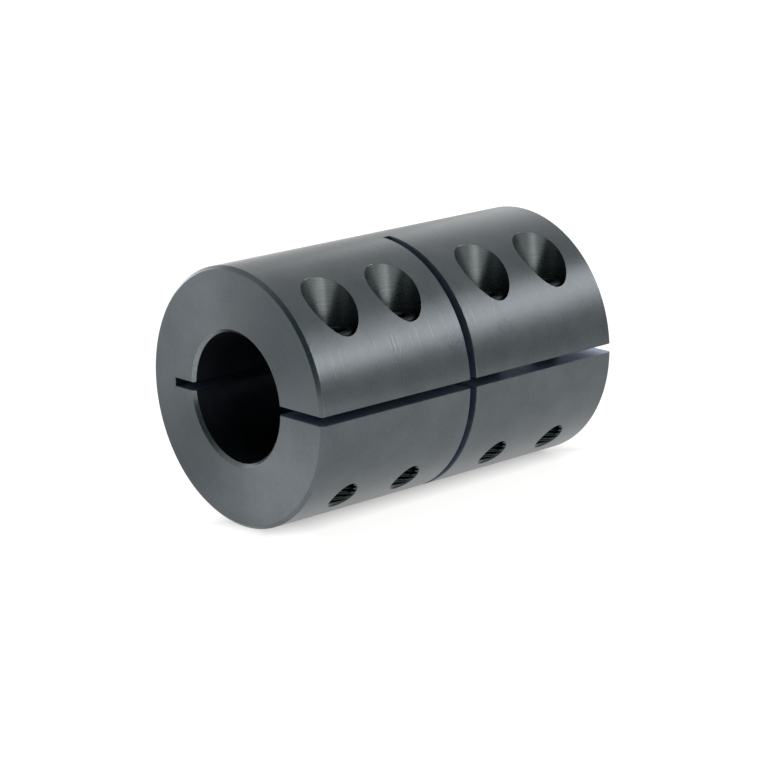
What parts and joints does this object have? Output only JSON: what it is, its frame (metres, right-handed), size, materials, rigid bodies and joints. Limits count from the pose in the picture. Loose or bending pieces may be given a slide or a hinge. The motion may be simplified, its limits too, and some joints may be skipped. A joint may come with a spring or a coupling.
{
  "type": "rigid clamping shaft coupling",
  "caption": "One-piece slit steel sleeve that clamps two shaft ends in line in its bore by socket head cap screws along one side.",
  "frame": {"origin": "on the bore axis at mid-length, which is the centre of the bounding box", "axes": "+Y along the bore, +Z along the clamp screws towards their heads, +X towards the side with the slit and the screws"},
  "size_m": [0.0382, 0.0572, 0.0382],
  "materials": {
    "sleeve_black_oxide": "satin black oxide over a turned surface",
    "screw_black_oxide": "dark oiled black oxide"
  },
  "bodies": {
    "sleeve": {"coupling_body": "sleeve_black_oxide"},
    "screw_front_outer": {"clamp_screw_front_outer": "screw_black_oxide"},
    "screw_front_inner": {"clamp_screw_front_inner": "screw_black_oxide"},
    "screw_rear_inner": {"clamp_screw_rear_inner": "screw_black_oxide"},
    "screw_rear_outer": {"clamp_screw_rear_outer": "screw_black_oxide"}
  },
  "joints": [
    {"name": "screw_front_outer_slide", "type": "slide", "parent": "sleeve", "child": "screw_front_outer", "axis": [0, 0, 1], "range_m": [0, 0.02461]},
    {"name": "screw_front_inner_slide", "type": "slide", "parent": "sleeve", "child": "screw_front_inner", "axis": [0, 0, 1], "range_m": [0, 0.02461]},
    {"name": "screw_rear_inner_slide", "type": "slide", "parent": "sleeve", "child": "screw_rear_inner", "axis": [0, 0, 1], "range_m": [0, 0.02461]},
    {"name": "screw_rear_outer_slide", "type": "slide", "parent": "sleeve", "child": "screw_rear_outer", "axis": [0, 0, 1], "range_m": [0, 0.02461]}
  ]
}
